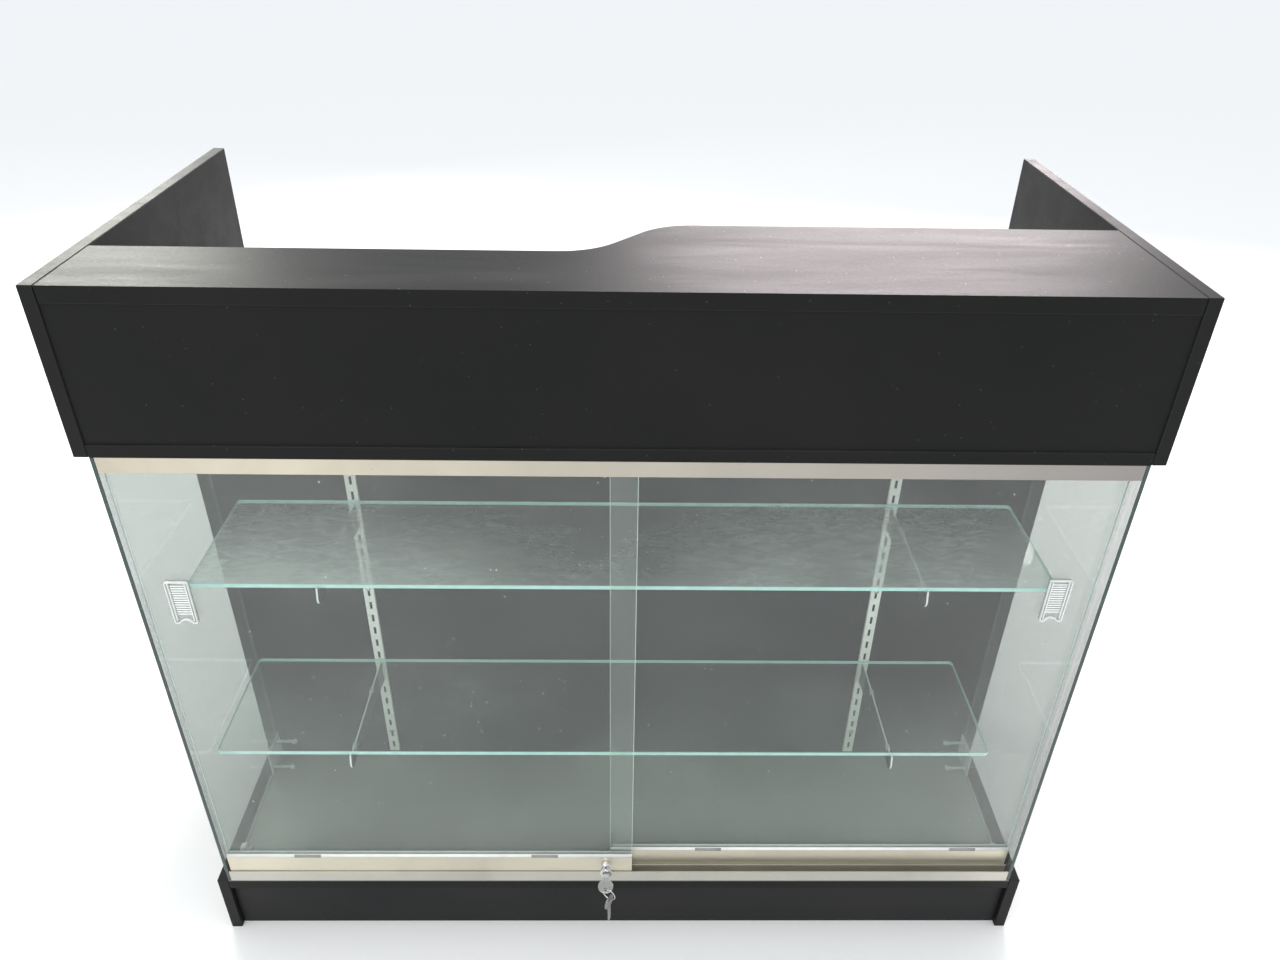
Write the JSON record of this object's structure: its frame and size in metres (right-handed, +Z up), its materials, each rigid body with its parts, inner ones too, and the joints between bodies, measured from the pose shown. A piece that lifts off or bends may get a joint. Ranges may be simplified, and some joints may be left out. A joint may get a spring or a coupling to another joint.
{
  "type": "glass display checkout counter",
  "caption": "Free-standing checkout counter with a raised ledge, a sunken work surface and a glass showcase front with locking sliding doors.",
  "frame": {"origin": "centre of the whole object's bounding box, at its base on the floor", "axes": "+X along the counter to the customer's right, +Y from the customer's side to the clerk's side, +Z up"},
  "size_m": [1.219, 0.6084, 1.057],
  "materials": {
    "black_laminate": "black melamine laminate on particleboard, satin",
    "clear_glass": "clear float glass with seamed edges",
    "satin_aluminium": "satin anodised extrusion",
    "zinc_plated_steel": "zinc plated",
    "chrome": "bright nickel-chrome plate",
    "nickel_brass": "nickel plated brass",
    "clear_plastic": "clear moulded plastic",
    "white_plastic": "white moulded plastic",
    "shelf_rubber": "translucent soft cushion",
    "wheel_plastic": "off-white nylon"
  },
  "bodies": {
    "counter": {"left_side_board": "black_laminate", "right_side_board": "black_laminate", "deck_board": "black_laminate", "front_kick_board": "black_laminate", "rear_kick_board": "black_laminate", "work_surface": "black_laminate", "fascia_panel": "black_laminate", "ledge_top": "black_laminate", "display_back_panel": "black_laminate", "storage_shelf": "black_laminate", "storage_pin_left_front": "zinc_plated_steel", "storage_pin_left_rear": "zinc_plated_steel", "storage_pin_right_front": "zinc_plated_steel", "storage_pin_right_rear": "zinc_plated_steel", "left_glass_pane": "clear_glass", "right_glass_pane": "clear_glass", "top_track": "satin_aluminium", "bottom_track": "satin_aluminium", "left_standard": "zinc_plated_steel", "right_standard": "zinc_plated_steel", "upper_left_bracket": "zinc_plated_steel", "upper_left_bracket_front_cushion": "shelf_rubber", "upper_left_bracket_rear_cushion": "shelf_rubber", "upper_right_bracket": "zinc_plated_steel", "upper_right_bracket_front_cushion": "shelf_rubber", "upper_right_bracket_rear_cushion": "shelf_rubber", "lower_left_bracket": "zinc_plated_steel", "lower_left_bracket_front_cushion": "shelf_rubber", "lower_left_bracket_rear_cushion": "shelf_rubber", "lower_right_bracket": "zinc_plated_steel", "lower_right_bracket_front_cushion": "shelf_rubber", "lower_right_bracket_rear_cushion": "shelf_rubber", "upper_glass_shelf": "clear_glass", "lower_glass_shelf": "clear_glass", "left_corner_clamp": "clear_plastic", "right_corner_clamp": "clear_plastic", "left_front_clip": "white_plastic", "right_front_clip": "white_plastic"},
    "left_door": {"left_door_glass": "clear_glass", "left_door_rail": "satin_aluminium", "left_door_outer_axle": "zinc_plated_steel", "left_door_inner_axle": "zinc_plated_steel", "left_finger_pull": "clear_plastic", "lock_sleeve": "chrome"},
    "right_door": {"right_door_glass": "clear_glass", "right_door_rail": "satin_aluminium", "right_door_outer_axle": "zinc_plated_steel", "right_door_inner_axle": "zinc_plated_steel", "right_finger_pull": "clear_plastic"},
    "left_outer_wheel": {"left_door_outer_roller": "wheel_plastic"},
    "left_inner_wheel": {"left_door_inner_roller": "wheel_plastic"},
    "right_outer_wheel": {"right_door_outer_roller": "wheel_plastic"},
    "right_inner_wheel": {"right_door_inner_roller": "wheel_plastic"},
    "lock_press": {"lock_plunger": "chrome"},
    "lock_core": {"lock_plug": "nickel_brass", "key": "zinc_plated_steel"},
    "ring": {"key_ring": "zinc_plated_steel"},
    "hanging_key": {"spare_key": "zinc_plated_steel"}
  },
  "joints": [
    {"name": "left_door_slide", "type": "slide", "parent": "counter", "child": "left_door", "axis": [1, 0, 0], "range_m": [0, 0.55]},
    {"name": "right_door_slide", "type": "slide", "parent": "counter", "child": "right_door", "axis": [-1, 0, 0], "range_m": [0, 0.55]},
    {"name": "left_outer_roller_turn", "type": "hinge", "parent": "left_door", "child": "left_outer_wheel", "pos_m": [-0.51, -0.24345, 0.1261], "axis": [0, 1, 0], "range_deg": [0, 4504]},
    {"name": "left_inner_roller_turn", "type": "hinge", "parent": "left_door", "child": "left_inner_wheel", "pos_m": [-0.0595, -0.24345, 0.1261], "axis": [0, 1, 0], "range_deg": [0, 4504]},
    {"name": "right_inner_roller_turn", "type": "hinge", "parent": "right_door", "child": "right_inner_wheel", "pos_m": [0.0575, -0.23115, 0.1261], "axis": [0, 1, 0], "range_deg": [-4504, 0]},
    {"name": "right_outer_roller_turn", "type": "hinge", "parent": "right_door", "child": "right_outer_wheel", "pos_m": [0.51, -0.23115, 0.1261], "axis": [0, 1, 0], "range_deg": [-4504, 0]},
    {"name": "lock_press_slide", "type": "slide", "parent": "left_door", "child": "lock_press", "axis": [0, 1, 0], "range_m": [0, 0.006], "stiffness_N_per_m": 250, "springref_m": -0.002},
    {"name": "key_turn", "type": "hinge", "parent": "lock_press", "child": "lock_core", "pos_m": [-0.0232, -0.2594, 0.15], "axis": [0, 1, 0], "range_deg": [0, 90]},
    {"name": "key_ring_swing", "type": "hinge", "parent": "lock_press", "child": "ring", "pos_m": [-0.0232, -0.2911, 0.15], "axis": [0.866, -0.5, 0], "range_deg": [-30, 10]},
    {"name": "spare_key_swing", "type": "hinge", "parent": "ring", "child": "hanging_key", "pos_m": [-0.01812, -0.29403, 0.13299], "axis": [0.866, -0.5, 0], "range_deg": [-45, 15]}
  ],
  "couplings": [
    {"joint": "left_outer_roller_turn", "follows": "left_door_slide", "rad_per_m": 142.86},
    {"joint": "left_inner_roller_turn", "follows": "left_door_slide", "rad_per_m": 142.86},
    {"joint": "right_inner_roller_turn", "follows": "right_door_slide", "rad_per_m": -142.86},
    {"joint": "right_outer_roller_turn", "follows": "right_door_slide", "rad_per_m": -142.86}
  ]
}
